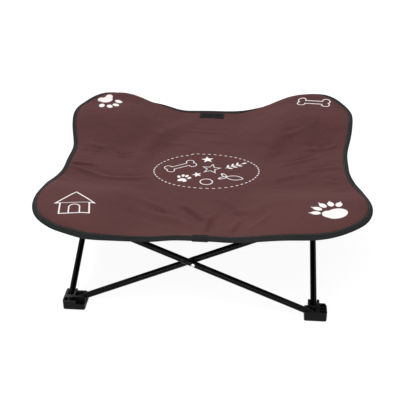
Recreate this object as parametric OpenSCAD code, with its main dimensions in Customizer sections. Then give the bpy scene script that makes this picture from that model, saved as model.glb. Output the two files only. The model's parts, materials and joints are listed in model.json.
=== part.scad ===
// Raised pet cot: a sling with four lobes on a square frame of crossed tubes that folds to a bundle.
// Millimetres, +Z up, +Y to the back, origin on the floor under the middle of the sling.

/* [Tube frame] */
// Outside diameter of the tubes
tube_d = 16; // [14:0.5:18]
// Wall of the tubes
tube_wall = 1.2; // [0.8:0.1:2]
// From the middle of the cot to each upright plane of crossed tubes
plane_reach = 308; // [280:1:340]
// Height of the flat faces that carry the sling
frame_h = 294; // [250:1:330]
// Gap between two tubes where they cross
cross_gap = 1.6; // [1.2:0.1:2.4]
// Tube left past each pivot pin
tube_tail = 8; // [7:0.5:10]

/* [Joint blocks] */
// Height of a pivot above the flat face of its block
pivot_z = 17; // [16.5:0.5:20]
// From the corner where two planes meet to each pivot
pivot_inset = 17; // [17:0.5:20]
// From that corner to the inner edge of the block
block_in = 33; // [31:0.5:40]
// Height of the outer walls
block_h = 26; // [22:0.5:30]
// Height of the low end of the wall in front of the hollow
low_wall_h = 15; // [12:0.5:19]
// Length of that low end
low_wall_len = 22; // [18:0.5:24]
// Height of the ears that hold a tube
ear_h = 28; // [27:0.5:32]
// Thickness of an ear
ear_t = 5.5; // [5:0.25:6.5]
// Thickness of the floor under the tubes
block_floor = 4.5; // [3:0.25:4.75]
// Thickness of the walls round the hollow
block_wall = 3; // [2:0.25:4]
// Thickness of the ribs in the hollow
rib_t = 2.4; // [1.6:0.2:3]
// Radius of the upright corners
block_round = 5; // [3:0.5:6]
// Radius of the top corners of an ear
ear_round = 4; // [3:0.5:6]
// Step round the edge of the flat face
sole_step = 1.2; // [0.8:0.1:2]
// Play between a tube and each ear
slot_play = 0.5; // [0.4:0.05:0.8]
// Play between the end of a tube and its slot
tail_play = 0.6; // [0.4:0.1:1]

/* [Pins and rivets] */
// Diameter of the pivot pins
pin_d = 5; // [4:0.25:6]
// Radial play of a pin or rivet in a tube
pin_play = 0.08; // [0.03:0.01:0.1]
// Radial play of a pin in its block
pin_seat = 0.02; // [0.01:0.01:0.05]
// Depth of wall left at the blind end of a pin
pin_skin = 1.4; // [1:0.1:2]
// Diameter of the crossing rivets
rivet_d = 5; // [4:0.25:6]
// Diameter of the domed head
rivet_head_d = 10; // [8:0.5:12]
// Height of the domed head
rivet_head_h = 2.6; // [1.8:0.1:3.4]
// Diameter of the closed end
rivet_tail_d = 8.5; // [7:0.5:10]
// Height of the closed end
rivet_tail_h = 1.6; // [1:0.1:2.4]
// Diameter of the washers between crossed tubes
washer_d = 15; // [12:0.5:18]
// Gap between a washer and the tube that turns against it
washer_play = 0.3; // [0.2:0.05:0.4]

/* [Sling] */
// Thickness of the sling cloth
sling_t = 2; // [1.4:0.1:3]
// How far the middle of a side stands out past its plane of tubes
side_over = 67; // [45:1:90]
// How far the end of a lobe stands out past the corner of two planes
lobe_over = 81; // [60:1:100]
// How much the flanks of a lobe swell
lobe_bulge = 6; // [0:0.5:12]
// How much the end of a lobe is flattened
lobe_flat = 3; // [0:0.5:6]
// How far the middle of the sling hangs below those flat faces
middle_drop = 58; // [40:1:70]
// How far the middle of a side hangs below them
side_drop = 40; // [28:1:50]
// Half the width of the level cloth over a block
pad_half = 48; // [46:1:56]
// Length over which the cloth falls away from there
pad_fade = 190; // [160:1:220]
// Gap between the cloth and a block
cloth_play = 0.4; // [0.3:0.05:0.6]
// Gap between the two halves of the cloth along the crease
crease_gap = 0.3; // [0.2:0.05:0.5]

/* [Edge tape] */
// Width of the folded tape
tape_w = 12; // [9:0.5:16]
// Thickness of the tape
tape_t = 0.9; // [0.6:0.1:1.4]
// Gap between layers of cloth
layer_gap = 0.3; // [0.2:0.05:0.4]
// Length of the wrap over the joint of the tape
join_len = 33; // [24:1:36]
// From the crease to the middle of that wrap
join_x = 20; // [19:1:60]

/* [Corner pockets and label] */
// Thickness of a pocket wall
pocket_t = 1.6; // [1.2:0.1:2.4]
// Height of a pocket
pocket_h = 27; // [20:1:32]
// Reach of a pocket along each face of its block
pocket_reach = 24; // [18:1:30]
// Radius of the hem along the lower edge of a pocket
hem_r = 2; // [1.6:0.1:2.6]
// Gap between a pocket and its block
pocket_play = 0.3; // [0.2:0.05:0.4]
// Width of the label
label_w = 74; // [60:1:84]
// Depth of the label
label_l = 30; // [24:1:36]
// Thickness of the label
label_t = 1; // [0.8:0.1:1.6]
// Gap between the label and the inner edge of the tape
label_inset = 5; // [3:0.5:20]

/* [Hidden] */
$fn = 48;

cover = 1;                                    // how far a cut runs past the face that it opens
tube_r = tube_d / 2;
layer = tube_r + cross_gap / 2;               // axis of a tube from the plane that it shares
pivot_reach = plane_reach - pivot_inset;      // pivots of one side from the middle of that side
cross_z = frame_h / 2;                        // rivets where two tubes cross
rise = 2 * (cross_z - pivot_z);               // height between the two pivots of a tube
tube_len = norm([2 * pivot_reach, rise]);
lean = atan2(2 * pivot_reach, rise);          // lean of an open tube from upright

slot_half = tube_r + slot_play;
block_out = layer + slot_half + ear_t;        // outer faces from the corner of the planes
tail_r = norm([tube_tail, tube_r]) + tail_play;
pin_r = pin_d / 2;

pad_centre = plane_reach + (block_out - pocket_play - pocket_t) / 4;
pad_z = frame_h + cloth_play + sling_t;
side_reach = plane_reach + side_over;
lobe_reach = norm([plane_reach, plane_reach]) + lobe_over;
edge_mean = (side_reach + lobe_reach) / 2 - lobe_bulge;
edge_swing = (lobe_reach - side_reach) / 2 + lobe_flat;
middle_z = frame_h - middle_drop;
side_z = frame_h - side_drop;

front_way = 270;                              // direction of the front from the middle
sectors = 40;                                 // steps round half of the sling
ring_shares = [0.2, 0.4, 0.56, 0.69, 0.77, 0.85, 0.93, 1];
rings = len(ring_shares) + 1;
label_steps = [6, 3];
join_steps = 4;

// Plan of a square with its sides at lo and hi and round corners
module round_square(lo, hi, r) {
    translate([lo + r, lo]) square([hi - lo - 2 * r, hi - lo]);
    translate([lo, lo + r]) square([hi - lo, hi - lo - 2 * r]);
    for (x = [lo + r, hi - r], y = [lo + r, hi - r]) translate([x, y]) circle(r);
}

// Upright plate of thickness ear_t along X, with round top corners
module ear(x_lo) {
    length = block_in - x_lo;
    height = ear_h - sole_step;
    translate([x_lo, ear_t, sole_step]) rotate([90, 0, 0]) linear_extrude(ear_t) {
        square([length, height - ear_round]);
        translate([ear_round, 0]) square([length - 2 * ear_round, height]);
        for (x = [ear_round, length - ear_round]) translate([x, height - ear_round]) circle(ear_round);
    }
}

// Slot and pin bore of a channel along X whose tube lies at y = off
module channel_cut(off) {
    reach = block_in - pivot_inset + cover;
    translate([pivot_inset, off, pivot_z]) {
        rotate([90, 0, 0]) cylinder(r = tail_r, h = 2 * slot_half, center = true);
        translate([-tail_r, -slot_half, 0]) cube([tail_r + reach, 2 * slot_half, ear_h]);
        translate([0, -slot_half, -tail_r]) cube([reach, 2 * slot_half, ear_h]);
        translate([0, -slot_half - ear_t + pin_skin, 0]) rotate([-90, 0, 0])
            cylinder(r = pin_r + pin_seat, h = 2 * slot_half + 2 * ear_t - pin_skin + cover);
    }
}

// One moulded block: an inner channel along X and an outer channel along Y, hollow in front of them
module joint_block() {
    hollow_in = block_in - block_wall;
    hollow_back = layer - slot_half - ear_t;
    difference() {
        union() {
            translate([0, 0, sole_step])
                linear_extrude(block_h - sole_step) round_square(-block_out, block_in, block_round);
            linear_extrude(sole_step + cover)
                round_square(-block_out + sole_step, block_in - sole_step, block_round - sole_step);
            translate([0, layer - slot_half - ear_t, 0]) ear(-layer + slot_half);
            translate([0, layer + slot_half, 0]) ear(-layer + slot_half);
            mirror([1, -1, 0]) translate([0, slot_half - layer, 0]) ear(layer - slot_half - ear_t);
        }
        channel_cut(layer);
        mirror([1, -1, 0]) channel_cut(-layer);
        translate([block_in - low_wall_len, -block_out - cover, low_wall_h])
            cube([low_wall_len + cover, hollow_back + block_out + cover, ear_h]);
        hollow_front = -block_out + block_wall;
        translate([hollow_front, hollow_front, block_floor])
            cube([hollow_in - hollow_front, hollow_back - hollow_front, block_h]);
        inner_x = -layer + slot_half + ear_t;
        inner_y = layer + slot_half + ear_t;
        translate([inner_x, inner_y, block_floor])
            cube([block_in - inner_x + cover, block_in - inner_y + cover, ear_h + cover]);
    }
    for (rib = [[-layer, block_h], [pivot_inset, low_wall_h]])
        translate([rib.x - rib_t / 2, -block_out + block_wall / 2, sole_step])
            cube([rib_t, hollow_back + block_out - block_wall / 2 + pin_skin / 2, rib.y - 2 * sole_step]);
}

// Pin of a channel along X whose tube lies at y = off
module pin(off) {
    length = 2 * slot_half + 2 * ear_t - 2 * pin_skin;
    translate([pivot_inset, off - slot_half - ear_t + pin_skin, pivot_z]) rotate([-90, 0, 0])
        cylinder(r = pin_r, h = length);
}

// Both pins of one block
module block_pins() {
    pin(layer);
    mirror([1, -1, 0]) pin(-layer);
}

// Moves a piece drawn round the corner of two planes to the front left corner of the floor
module at_corner() {
    translate([-plane_reach, -plane_reach, 0]) children();
}

// Turns a foot over about its diagonal, which puts its flat face under the sling
module turned_over() {
    translate([0, 0, frame_h]) mirror([1, -1, 0]) mirror([0, 0, 1]) at_corner() children();
}

// Turns a front piece to side n: front, right, back, left
module turned(n) {
    rotate([0, 0, 90 * n]) children();
}

// Tube of the front side that leans to the side given by way, with bores for its pins and its rivet
module tube(way) {
    translate([-way * pivot_reach, -plane_reach + way * layer, pivot_z]) rotate([0, way * lean, 0])
        difference() {
            translate([0, 0, -tube_tail]) cylinder(r = tube_r, h = tube_len + 2 * tube_tail);
            translate([0, 0, -tube_tail - cover])
                cylinder(r = tube_r - tube_wall, h = tube_len + 2 * (tube_tail + cover));
            for (z = [0, tube_len]) translate([0, 0, z]) rotate([90, 0, 0])
                cylinder(r = pin_r + pin_play, h = tube_d + cover, center = true);
            translate([0, 0, tube_len / 2]) rotate([90, 0, 0])
                cylinder(r = rivet_d / 2 + pin_play, h = tube_d + cover, center = true);
        }
}

// Rivet of the front side: domed head outside, shank, closed end inside
module rivet() {
    stack = layer + tube_r + pin_play;
    dome_r = (pow(rivet_head_d / 2, 2) + pow(rivet_head_h, 2)) / (2 * rivet_head_h);
    translate([0, -plane_reach, cross_z]) rotate([90, 0, 0]) {
        translate([0, 0, -stack]) cylinder(d = rivet_d, h = 2 * stack);
        translate([0, 0, stack]) rotate_extrude() intersection() {
            translate([0, rivet_head_h - dome_r]) circle(dome_r);
            square([rivet_head_d / 2, rivet_head_h]);
        }
        translate([0, 0, -stack - rivet_tail_h]) cylinder(d = rivet_tail_d, h = rivet_tail_h);
    }
}

// Washer between the crossed tubes of the front side
module washer() {
    thick = cross_gap - washer_play - pin_play;
    translate([0, -plane_reach + cross_gap / 2 - washer_play, cross_z]) rotate([90, 0, 0])
        difference() {
            cylinder(d = washer_d, h = thick);
            translate([0, 0, -cover]) cylinder(r = rivet_d / 2 + pin_play, h = thick + 2 * cover);
        }
}

// Cloth pocket round the outer corner of a top block, with a hem along its lower edge
module corner_pocket() {
    inner = block_out + pocket_play;
    outer = inner + pocket_t;
    inner_round = block_round + pocket_play;
    far = 2 * block_in;
    low = frame_h - pocket_h;
    at_corner() {
        intersection() {
            translate([0, 0, low]) linear_extrude(pocket_h) difference() {
                round_square(-outer, far, inner_round + pocket_t);
                round_square(-inner, 2 * far, inner_round);
            }
            translate([-outer, -outer, 0])
                cube([outer + pocket_reach, outer + pocket_reach, frame_h]);
        }
        bend = -outer + inner_round + pocket_t;
        hem_at = -outer - hem_r + pocket_t;
        translate([0, 0, low]) {
            translate([bend, bend, 0]) rotate([0, 0, 180]) rotate_extrude(angle = 90)
                translate([bend - hem_at, 0]) circle(hem_r);
            translate([bend, hem_at, 0]) rotate([0, 90, 0]) cylinder(r = hem_r, h = pocket_reach - bend);
            translate([hem_at, bend, 0]) rotate([-90, 0, 0]) cylinder(r = hem_r, h = pocket_reach - bend);
        }
    }
}

// Outline of the sling: distance from the middle, its rate per radian, and a point set in from the edge
function edge_r(a) = edge_mean + edge_swing * cos(4 * (a - 45))
    + lobe_bulge * cos(8 * (a - 45)) - lobe_flat * cos(12 * (a - 45));
function edge_rate(a) = -4 * edge_swing * sin(4 * (a - 45))
    - 8 * lobe_bulge * sin(8 * (a - 45)) + 12 * lobe_flat * sin(12 * (a - 45));
function along(a) = edge_rate(a) * [cos(a), sin(a)] + edge_r(a) * [-sin(a), cos(a)];
function set_in(a, d) = edge_r(a) * [cos(a), sin(a)] + d * [-along(a).y, along(a).x] / norm(along(a));

// Height of the upper face of the sling: level over the blocks, slack between them
function fade(t) = 1 - 3 * t * t + 2 * t * t * t;
function pad_off(p) = pow(pow(abs(p.x) - pad_centre, 4) + pow(abs(p.y) - pad_centre, 4), 1 / 4);
function pad_share(p) = fade(min(1, max(0, pad_off(p) - pad_half) / pad_fade));
function slack_z(p) = middle_z + (side_z - middle_z) * pow(norm(p) / edge_r(atan2(p.y, p.x)), 2);
function sling_z(p) = slack_z(p) + (pad_z - slack_z(p)) * pad_share(p);
function on_sling(p, lift) = [p.x, p.y, sling_z(p) + lift];

function half_angle(from, i) = from + 180 * i / sectors;
function ring_point(a, j) = j < rings - 1
    ? ring_shares[j] * set_in(a, tape_w)
    : set_in(a, tape_t + layer_gap);
function quad(a, b, c, d) = [[a, b, c], [a, c, d]];

// Half of the sling cloth, anticlockwise from one angle
module sling_half(from) {
    side = 1 + (sectors + 1) * rings;
    function at(i, j) = j < 0 ? 0 : 1 + i * rings + j;
    plan = concat([[0, 0]], [for (i = [0:sectors], j = [0:rings - 1]) ring_point(half_angle(from, i), j)]);
    points = [for (lift = [0, -sling_t], p = plan) on_sling(p, lift)];
    fans = [for (i = [0:sectors - 1]) each
        [[0, at(i + 1, 0), at(i, 0)], [side, side + at(i, 0), side + at(i + 1, 0)]]];
    skins = [for (i = [0:sectors - 1], j = [0:rings - 2]) each concat(
        quad(at(i, j), at(i + 1, j), at(i + 1, j + 1), at(i, j + 1)),
        quad(side + at(i, j), side + at(i, j + 1), side + at(i + 1, j + 1), side + at(i + 1, j)))];
    rim = [for (i = [0:sectors - 1]) each quad(at(i, rings - 1), at(i + 1, rings - 1),
        side + at(i + 1, rings - 1), side + at(i, rings - 1))];
    crease = [for (j = [-1:rings - 2]) each concat(
        quad(at(0, j), at(0, j + 1), side + at(0, j + 1), side + at(0, j)),
        quad(at(sectors, j + 1), at(sectors, j), side + at(sectors, j), side + at(sectors, j + 1)))];
    shift = from == 90 ? -crease_gap / 2 : crease_gap / 2;
    translate([shift, 0, 0]) polyhedron(points, concat(fans, skins, rim, crease));
}

// Strip folded over the edge of the sling: its fold lies at inset out, its free edges at inset width
module edge_strip(from, to, steps, out, wall, gap, width) {
    function section(a) = [
        on_sling(set_in(a, width), gap + wall),
        on_sling(set_in(a, out), gap + wall),
        on_sling(set_in(a, out), -sling_t - gap - wall),
        on_sling(set_in(a, width), -sling_t - gap - wall),
        on_sling(set_in(a, width), -sling_t - gap),
        on_sling(set_in(a, out + wall), -sling_t - gap),
        on_sling(set_in(a, out + wall), gap),
        on_sling(set_in(a, width), gap)
    ];
    count = 8;
    points = [for (i = [0:steps]) each section(from + (to - from) * i / steps)];
    function at(i, k) = i * count + k % count;
    sides = [for (i = [0:steps - 1], k = [0:count - 1]) each k == 2 || k == 6
        ? quad(at(i + 1, k), at(i + 1, k + 1), at(i, k + 1), at(i, k))
        : quad(at(i, k), at(i + 1, k), at(i + 1, k + 1), at(i, k + 1))];
    corners = [[0, 1, 6, 7], [1, 2, 5, 6], [2, 3, 4, 5]];
    ends = [for (c = corners) each concat(
        quad(at(0, c[0]), at(0, c[1]), at(0, c[2]), at(0, c[3])),
        quad(at(steps, c[3]), at(steps, c[2]), at(steps, c[1]), at(steps, c[0])))];
    polyhedron(points, concat(sides, ends));
}

module foot(n) {
    color("#232324") turned(n) at_corner() joint_block();
}

module top_block(n) {
    color("#232324") turned(n) turned_over() joint_block();
}

module inner_tube(n) {
    color("#161617") turned(n) tube(1);
}

module outer_tube(n) {
    color("#161617") turned(n) tube(-1);
}

module foot_pins(n) {
    color("#8d8f92") turned(n) at_corner() block_pins();
}

module top_pins(n) {
    color("#8d8f92") turned(n) turned_over() block_pins();
}

module cross_rivet(n) {
    color("#c9cacc") turned(n) rivet();
}

module cross_washer(n) {
    color("#2b2b2c") turned(n) washer();
}

module pocket(n) {
    color("#333536") turned(n) corner_pocket();
}

module sling(from) {
    color("#654343") sling_half(from);
}

module edge_tape(from) {
    shift = from == 90 ? -crease_gap / 2 : crease_gap / 2;
    color("#333536") translate([shift, 0, 0])
        edge_strip(from, from + 180, sectors, 0, tape_t, layer_gap, tape_w);
}

module tape_join() {
    from = front_way + asin((join_x - join_len / 2) / side_reach);
    to = front_way + asin((join_x + join_len / 2) / side_reach);
    out = -layer_gap - tape_t;
    color("#2a2b2c") edge_strip(from, to, join_steps, out, tape_t, 2 * layer_gap + tape_t, tape_w - out);
}

module label_tab() {
    back = side_reach - tape_w - label_inset;
    nx = label_steps.x;
    ny = label_steps.y;
    function at(i, j) = i * (ny + 1) + j;
    plan = [for (i = [0:nx], j = [0:ny]) [label_w * (i / nx - 1 / 2), back - label_l * (1 - j / ny)]];
    points = [for (lift = [layer_gap + label_t, layer_gap], p = plan) on_sling(p, lift)];
    side = len(plan);
    skins = [for (i = [0:nx - 1], j = [0:ny - 1]) each concat(
        quad(at(i, j), at(i, j + 1), at(i + 1, j + 1), at(i + 1, j)),
        quad(side + at(i, j), side + at(i + 1, j), side + at(i + 1, j + 1), side + at(i, j + 1)))];
    long = [for (i = [0:nx - 1]) each concat(
        quad(at(i, 0), at(i + 1, 0), side + at(i + 1, 0), side + at(i, 0)),
        quad(at(i + 1, ny), at(i, ny), side + at(i, ny), side + at(i + 1, ny)))];
    short = [for (j = [0:ny - 1]) each concat(
        quad(at(0, j + 1), at(0, j), side + at(0, j), side + at(0, j + 1)),
        quad(at(nx, j), at(nx, j + 1), side + at(nx, j + 1), side + at(nx, j)))];
    color("#17181a") polyhedron(points, concat(skins, long, short));
}

corners = ["front_left", "front_right", "back_right", "back_left"];
sides = ["front", "right", "back", "left"];
for (n = [0:3]) {
    foot(n);
    top_block(n);
    inner_tube(n);
    outer_tube(n);
    foot_pins(n);
    top_pins(n);
    cross_rivet(n);
    cross_washer(n);
    pocket(n);
}
sling(90);  // sling_left
sling(-90);  // sling_right
edge_tape(90);  // edge_tape_left
edge_tape(-90);  // edge_tape_right
tape_join();
label_tab();
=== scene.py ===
"""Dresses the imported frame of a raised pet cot: cloth, tape, stitches, finishes and stage."""

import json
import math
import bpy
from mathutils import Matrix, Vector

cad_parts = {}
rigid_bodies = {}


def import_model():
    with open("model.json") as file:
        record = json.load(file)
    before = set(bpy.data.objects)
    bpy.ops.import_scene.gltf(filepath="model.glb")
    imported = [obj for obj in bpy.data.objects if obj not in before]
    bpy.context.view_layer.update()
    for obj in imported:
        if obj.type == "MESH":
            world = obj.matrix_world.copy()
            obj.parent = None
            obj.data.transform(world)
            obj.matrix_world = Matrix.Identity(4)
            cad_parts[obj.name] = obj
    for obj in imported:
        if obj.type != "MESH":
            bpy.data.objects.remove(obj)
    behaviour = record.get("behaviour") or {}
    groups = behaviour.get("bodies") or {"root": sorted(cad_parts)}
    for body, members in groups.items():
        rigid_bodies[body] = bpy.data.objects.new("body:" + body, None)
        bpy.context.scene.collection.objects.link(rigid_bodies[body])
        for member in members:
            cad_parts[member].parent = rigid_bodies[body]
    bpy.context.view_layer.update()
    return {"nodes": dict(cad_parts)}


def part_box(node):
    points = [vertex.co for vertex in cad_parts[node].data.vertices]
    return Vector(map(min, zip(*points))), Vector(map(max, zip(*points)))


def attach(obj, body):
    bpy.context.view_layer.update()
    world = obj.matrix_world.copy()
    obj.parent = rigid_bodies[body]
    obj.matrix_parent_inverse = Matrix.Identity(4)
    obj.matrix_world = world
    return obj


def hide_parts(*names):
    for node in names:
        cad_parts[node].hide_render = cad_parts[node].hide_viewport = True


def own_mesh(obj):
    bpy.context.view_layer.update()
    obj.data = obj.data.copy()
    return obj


bl_info = {
    "name": "Raised Pet Cot",
    "version": (1, 0, 0),
    "blender": (4, 5, 0),
    "location": "3D View > Sidebar > Cot",
    "description": "Dresses the packed frame of a folding pet cot and sets its stage",
    "category": "Object",
}

import bpy
import numpy as np
from bpy.props import FloatProperty, FloatVectorProperty, IntProperty, PointerProperty
from mathutils import Matrix, Vector

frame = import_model()

CORNERS = ("front_left", "front_right", "back_right", "back_left")
SIDES = ("front", "right", "back", "left")
HALVES = ("left", "right")

# The drawn frame: planes of crossed tubes, flat faces under the sling, outer faces of the top blocks.
PLANE_REACH = -(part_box("front_outer_tube")[0][1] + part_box("front_inner_tube")[1][1]) / 2
BLOCK_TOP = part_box("top_block_front_left")[1][2]
BLOCK_OUT = -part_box("top_block_front_left")[0][0]
POCKET_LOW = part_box("corner_pocket_front_left")[0][2]
POCKET_END = -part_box("corner_pocket_front_left")[1][0]
LABEL_LOW, LABEL_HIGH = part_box("label_tab")
JOIN_LOW, JOIN_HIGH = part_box("tape_join")

# Where the hung cloth leaves its drawn form: direction from the middle and spread in degrees, the share of
# the way out where it starts to rise or fall, then its reach and its rise at the edge, in metres.
SLACK_SPOTS = (
    (0, 45, 0.50, 0.004, 0.007),
    (14, 20, 0.60, 0.004, 0.000),
    (27, 9, 0.70, -0.003, 0.000),
    (38, 11, 0.80, 0.003, 0.000),
    (45, 45, 0.90, 0.003, 0.003),
    (53, 15, 0.83, 0.000, 0.017),
    (60, 18, 0.94, 0.002, -0.015),
    (61, 10, 0.60, 0.000, -0.002),
    (67, 22, 0.55, 0.000, -0.004),
    (90, 45, 0.50, 0.000, -0.003),
    (112, 22, 0.55, 0.000, -0.004),
    (120, 10, 0.60, 0.000, -0.003),
    (122, 15, 0.94, 0.000, -0.019),
    (127, 14, 0.83, 0.000, 0.017),
    (135, 45, 0.90, -0.011, 0.001),
    (143, 11, 0.80, 0.005, 0.000),
    (160, 22, 0.60, -0.003, 0.000),
    (180, 45, 0.50, 0.004, 0.010),
    (196, 12, 0.60, 0.008, 0.000),
    (207, 8, 0.80, -0.004, 0.000),
    (222, 11, 0.85, 0.004, 0.000),
    (225, 45, 0.92, -0.008, -0.004),
    (234, 6, 0.85, -0.002, 0.000),
    (240, 10, 0.85, 0.003, -0.001),
    (249, 12, 0.80, -0.003, 0.001),
    (270, 45, 0.50, -0.006, 0.003),
    (315, 45, 0.92, -0.009, -0.003),
    (335, 7, 0.80, -0.003, 0.000),
    (343, 13, 0.60, 0.007, 0.000),
)

# Creases that stay in the cloth: from x, y to x, y, half width and height, in millimetres. The hollow of a
# crease lies to the right of its line.
CREASE_LINES = (
    (-275, 88, -365, 78, 7, 4.0),
    (-360, -8, -285, -8, 6, 3.0),
    (-270, -56, -365, -26, 8, 5.0),
    (-200, 78, -245, 62, 7, 4.0),
    (-232, 60, -290, 92, 7, 4.0),
    (-370, -95, -335, -130, 9, 2.5),
    (-350, 120, -285, 105, 9, 2.0),
    (-155, -48, -280, -62, 8, 4.5),
    (-210, -95, -135, -95, 12, 1.5),
    (-125, -242, 0, -318, 14, 6.0),
    (-150, -185, -62, -238, 10, 6.0),
    (-40, -195, 32, -285, 8, 7.5),
    (60, -160, 95, -220, 9, 5.0),
    (85, -220, 125, -245, 9, 4.5),
    (25, -350, 40, -245, 8, 5.0),
    (80, -345, 100, -275, 8, 4.0),
    (172, -262, 128, -340, 10, 6.0),
    (150, -320, 195, -270, 9, 3.5),
    (262, -295, 230, -345, 9, 4.5),
    (280, 192, 215, 172, 8, 4.5),
    (320, 248, 280, 192, 8, 4.5),
    (353, 119, 315, 106, 7, 4.0),
    (320, 106, 270, 119, 7, 4.0),
    (310, 74, 205, 34, 8, 4.5),
    (180, -55, 265, -25, 10, 2.0),
    (350, -3, 270, -5, 8, 5.0),
    (340, -84, 305, -66, 7, 3.5),
    (362, -142, 322, -131, 7, 3.5),
    (155, -105, 230, -145, 11, 2.0),
    (40, 236, -75, 252, 8, 3.0),
    (-125, 165, -50, 155, 10, 2.0),
    (0, 180, 75, 175, 10, 2.0),
    (-65, 135, -20, 75, 10, 2.0),
    (140, 175, 205, 120, 10, 2.0),
    (-330, 220, -265, 190, 10, 1.5),
    (95, 130, 165, 85, 11, 1.5),
    (285, 230, 335, 210, 9, 1.5),
    (-190, 205, -130, 190, 11, 1.5),
    (120, -235, 300, -262, 22, 6.0),
    (-205, 20, -70, 300, 24, 5.0),
    (150, 50, 235, 235, 22, 4.5),
)
# A crease's bow and run as shares of its length, and its hollow as shares of its crest.
CREASE_BOW, CREASE_RUN = 0.18, 0.48
HOLLOW_DEPTH, HOLLOW_OFF, HOLLOW_WIDTH = 0.6, 1.9, 1.2

# Fine pulls in from the edge: middle and spread in x, then in y, height as a share of the crease size, waves
# for each metre in x and in y, start of the waves and how far they wander.
FINE_PULLS = (
    ((-0.34, 0.06), (0.02, 0.10), 0.5, (9, 1 / 0.0042), 0.0, 2.3),
    ((0.33, 0.09), (0.04, 0.12), 0.4, (-14, 1 / 0.0050), 0.0, 2.5),
    ((0.07, 0.14), (-0.33, 0.06), 0.6, (1 / 0.0066, -0.35 / 0.0066), -0.126 / 0.0066, 2.2),
)
CREST_SHARP, CREST_MEAN = 1.6, 0.35
BROAD_SHARE, DRIFT_SHARE = 0.8, 0.25

# Shares of the way out: where the cloth starts to reach out, where its front edge starts to turn down, and
# the width of the edge that has no creases. The turn of the sling sets in over the width of its middle.
REACH_START, CURL_START, PLAIN_EDGE = 0.5, 0.962, 0.05
CURL_MOST, FRONT_SHARE, TURN_WIDTH = 1.1, 1.4, 0.12

# The print on the cloth, in metres: figure, place, turn in degrees, sizes, and half the width of its line,
# or 0 where it is filled.
PRINT_FIGURES = (
    ("paw", (-0.319, 0.331), 215, (0.080,), 0),
    ("bear_paw", (0.311, -0.304), 32, (0.087,), 0),
    ("house", (-0.300, -0.288), 6, (0.086,), 0),
    ("bone", (0.308, 0.338), -12, (0.088,), 0.0015),
    ("dashed_ring", (0.005, 0.000), 0, ((0.142, 0.098), 56), 0),
    ("bone", (-0.066, 0.026), 30, (0.084,), 0.0011),
    ("star", (0.006, 0.066), 10, (5, 0.018, 0.0075), 0),
    ("star", (0.020, 0.014), -8, (5, 0.025, 0.0105), 0.0010),
    ("star", (-0.016, -0.020), 22, (5, 0.014, 0.006), 0),
    ("sprig", (0.082, 0.032), 30, (0.058,), 0),
    ("fish", (0.078, -0.034), -14, (0.068,), 0.0011),
    ("paw", (-0.052, -0.046), -12, (0.042,), 0),
    ("disc", (0.012, -0.060), 0, ((0, 0), 0.016), 0.0013),
)
HOUSE_LINE, DOOR_LINE, DASH_LINE, DASH_SOFT = 0.0017, 0.0014, 0.0011, 0.004
INK_EDGE = 0.0006

# Seams, in metres: in from the edge of the tape and of the label, over the hem and under the top of a pocket.
TAPE_SEAM, LABEL_SEAM, HEM_SEAM, TOP_SEAM = 0.0022, 0.0025, 0.0055, 0.004
# Ripple of a pocket: its height, its length along the wall and the depth at which it is full.
RIPPLE, RIPPLE_LENGTH, RIPPLE_DEPTH = 0.0005, 0.007, 0.01
# Where the roll of the hem leaves the wall, and the worn corner of a strip as a share of its thickness.
HEM_START, STRIP_LIP = 1.2, 0.35

# Points along the tape, its wrap, the measured edge and a round fold; across, along and round half a label;
# along, round and up a pocket and round its hem.
TAPE_STEPS, WRAP_STEPS, EDGE_STEPS, FOLD_STEPS = 421, 25, 721, 9
LABEL_ACROSS, LABEL_ALONG, LABEL_ROUND = 15, 13, 16
POCKET_ALONG, POCKET_ROUND, POCKET_UP, HEM_STEPS = 14, 11, 6, 9

# Lamps: name of their power, place, aim and size, in metres.
LAMPS = (
    ("key", (-1.40, 3.60, 4.3), (0, 0, 0.2), (1.4, 1.4)),
    ("fill", (0.2, -1.2, 1.5), (0, -0.3, 0.2), (0.8, 0.8)),
    ("strip", (-0.1, -2.0, 0.60), (0, 0, 0.15), (2.8, 0.05)),
)
SENSOR = 36.0
# The floor: half its width, its height, the white that the camera sees and the light that it adds to it.
FLOOR_HALF, FLOOR_LOW, FLOOR_WHITE, FLOOR_CATCH = 8.0, -0.0004, 0.92, 0.20


def length_prop(name, description, default):
    return FloatProperty(name=name, description=description, default=default, unit="LENGTH")


def angle_prop(name, description, default):
    return FloatProperty(name=name, description=description, default=default, subtype="ANGLE")


def power_prop(name, description, default):
    return FloatProperty(name=name, description=description, default=default, subtype="POWER")


def colour_prop(name, description, default):
    return FloatVectorProperty(name=name, description=description, default=default, subtype="COLOR")


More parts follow.
